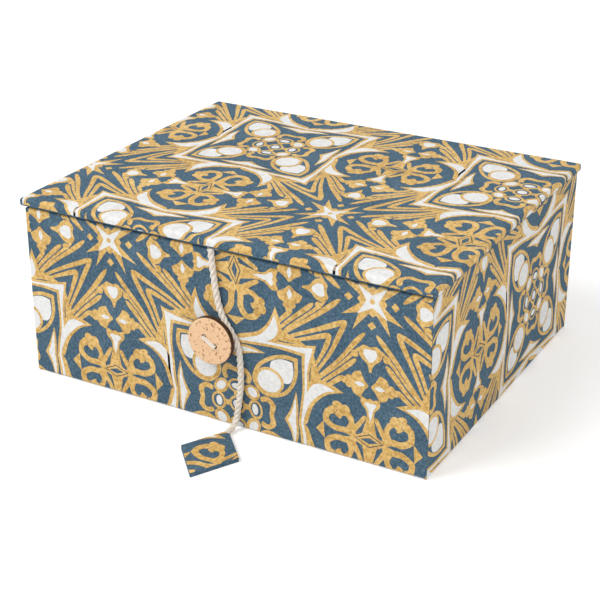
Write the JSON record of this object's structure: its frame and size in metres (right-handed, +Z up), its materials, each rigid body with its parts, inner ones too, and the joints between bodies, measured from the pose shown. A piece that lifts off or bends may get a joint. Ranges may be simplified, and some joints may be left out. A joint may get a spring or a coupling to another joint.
{
  "type": "keepsake box",
  "caption": "Rectangular rigid-board keepsake box covered in printed paper, with a paper-hinged lid, a sewn button on the front and a cord that hooks behind it and ends in a diamond tag.",
  "frame": {"origin": "centre of the flat underside of the box, on the table it stands on", "axes": "+Z up through the lid, +X to the right along the long side, -Y out of the front face with the button"},
  "size_m": [0.203, 0.2093, 0.0868],
  "materials": {
    "board": "matt grey board",
    "printed_paper": "matt handmade paper printed in blue, gold and white",
    "lining_paper": "matt plain dark paper",
    "coconut": "satin, with a dark rim",
    "thread": "matt twisted thread",
    "cotton": "matt twisted cotton cord",
    "tag_paper": "matt card covered in the printed paper"
  },
  "bodies": {
    "box": {"bottom_board": "board", "front_board": "board", "back_board": "board", "left_board": "board", "right_board": "board", "front_paper": "printed_paper", "back_paper": "printed_paper", "left_paper": "printed_paper", "right_paper": "printed_paper", "base_paper": "printed_paper", "front_lining": "lining_paper", "back_lining": "lining_paper", "left_lining": "lining_paper", "right_lining": "lining_paper", "floor_lining": "lining_paper", "inner_hinge_wall": "lining_paper", "button": "coconut", "button_thread": "thread"},
    "lid": {"lid_board": "board", "lid_cover": "printed_paper", "lid_lining": "lining_paper", "inner_hinge_lid": "lining_paper", "cord_tail": "cotton"},
    "hanging_cord": {"cord": "cotton", "cord_foot": "cotton"},
    "tag": {"tag_front": "tag_paper", "tag_back": "tag_paper"}
  },
  "joints": [
    {"name": "lid_hinge", "type": "hinge", "parent": "box", "child": "lid", "pos_m": [0, 0.08225, 0.0824], "axis": [-1, 0, 0], "range_deg": [0, 180], "deforming": ["cord", "cord_foot"]},
    {"name": "cord_swing", "type": "hinge", "parent": "lid", "child": "hanging_cord", "pos_m": [0, -0.0835, 0.0806], "axis": [-1, 0, 0], "range_deg": [-90, 0]},
    {"name": "tag_swing", "type": "hinge", "parent": "hanging_cord", "child": "tag", "pos_m": [0.0098, -0.0838, 0.0015], "axis": [-1, 0, 0], "range_deg": [-90, 0]}
  ],
  "couplings": [
    {"joint": "cord_swing", "follows": "lid_hinge", "ratio": -0.5},
    {"joint": "tag_swing", "follows": "lid_hinge", "ratio": -0.5}
  ]
}
